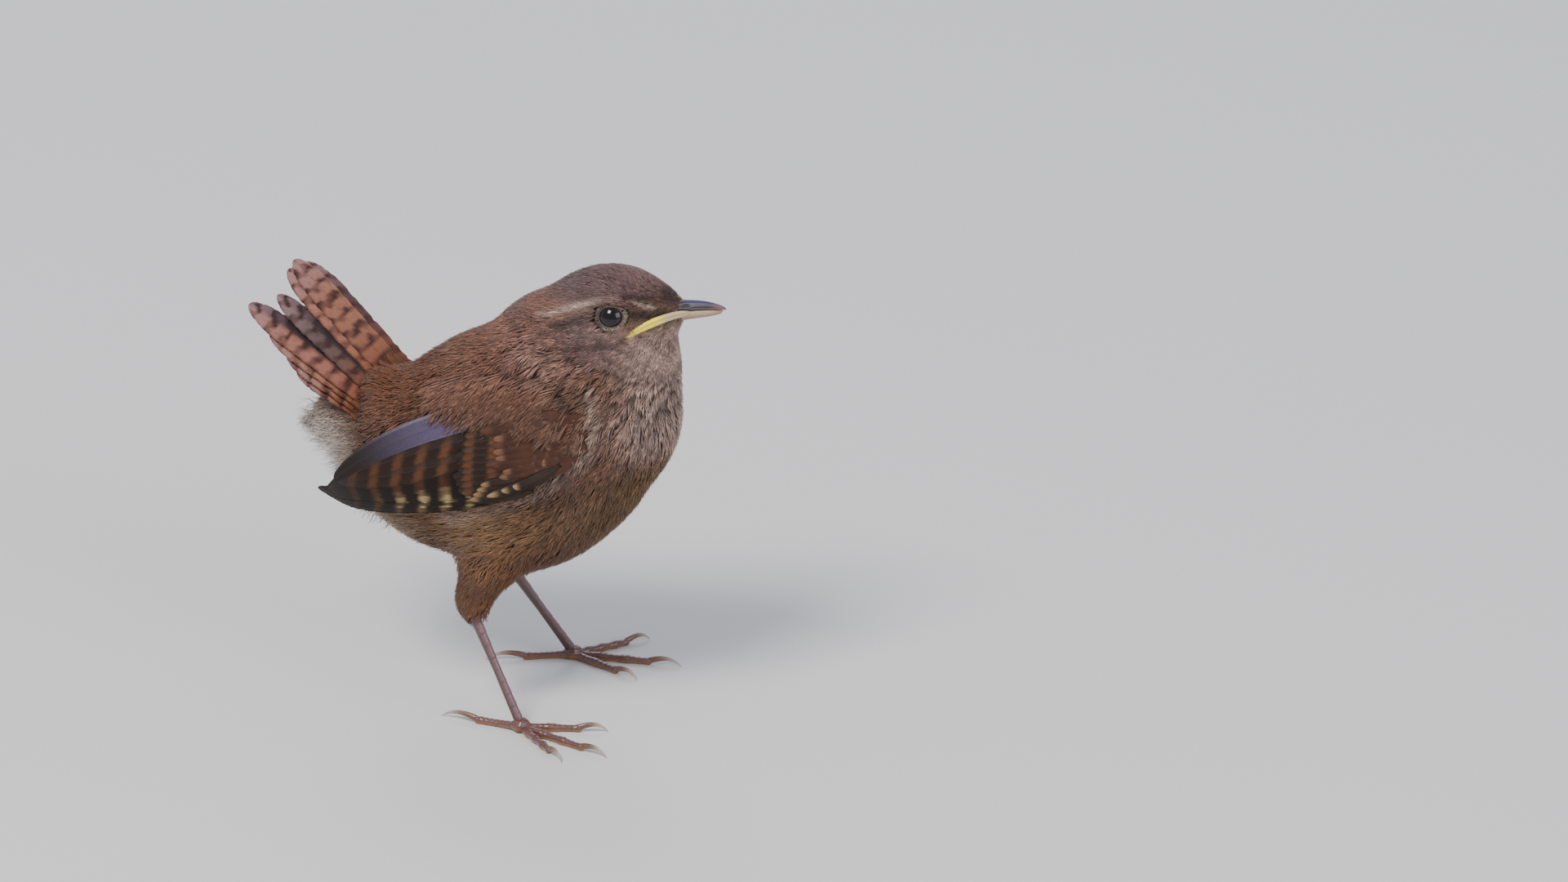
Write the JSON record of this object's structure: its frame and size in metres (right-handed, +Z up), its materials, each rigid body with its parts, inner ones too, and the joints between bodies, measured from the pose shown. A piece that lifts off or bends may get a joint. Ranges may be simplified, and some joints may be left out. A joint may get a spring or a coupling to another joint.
{
  "type": "wren",
  "caption": "Young wren in life size, standing on both feet with its short barred tail cocked and its wings folded.",
  "frame": {"origin": "on the floor, below the middle of the bird's bounding box", "axes": "+X forward along the bill, +Y to the bird's left, +Z up"},
  "size_m": [0.0719, 0.0492, 0.0695],
  "materials": {
    "plumage": "soft matte feathers, warm brown above, buff below",
    "wing_feathers": "smooth matte vanes barred rufous and dark brown",
    "tail_feathers": "smooth matte rufous vanes with dark bars",
    "horn": "smooth satin horn, dark above and pale below",
    "gape": "soft waxy yellow",
    "eye": "wet black-brown, highly glossy",
    "leg_skin": "scaly satin skin",
    "claw": "smooth satin horn"
  },
  "bodies": {
    "root": {"head": "plumage", "neck": "plumage", "breast": "plumage", "trunk": "plumage", "rump": "plumage", "vent": "plumage", "thigh_left": "plumage", "thigh_right": "plumage", "wing_left_coverts": "wing_feathers", "wing_left_secondaries": "wing_feathers", "wing_left_primaries": "wing_feathers", "wing_right_coverts": "wing_feathers", "wing_right_secondaries": "wing_feathers", "wing_right_primaries": "wing_feathers", "tail_central": "tail_feathers", "tail_left_2": "tail_feathers", "tail_left_3": "tail_feathers", "tail_left_4": "tail_feathers", "tail_right_2": "tail_feathers", "tail_right_3": "tail_feathers", "tail_right_4": "tail_feathers", "tail_right_5": "tail_feathers", "bill_upper": "horn", "bill_lower": "horn", "gape_left": "gape", "eye_left": "eye", "shank_left": "leg_skin", "foot_left": "leg_skin", "toe_middle_left": "leg_skin", "claw_middle_left": "claw", "toe_inner_left": "leg_skin", "claw_inner_left": "claw", "toe_outer_left": "leg_skin", "claw_outer_left": "claw", "toe_hind_left": "leg_skin", "claw_hind_left": "claw", "gape_right": "gape", "eye_right": "eye", "shank_right": "leg_skin", "foot_right": "leg_skin", "toe_middle_right": "leg_skin", "claw_middle_right": "claw", "toe_inner_right": "leg_skin", "claw_inner_right": "claw", "toe_outer_right": "leg_skin", "claw_outer_right": "claw", "toe_hind_right": "leg_skin", "claw_hind_right": "claw"}
  },
  "joints": []
}
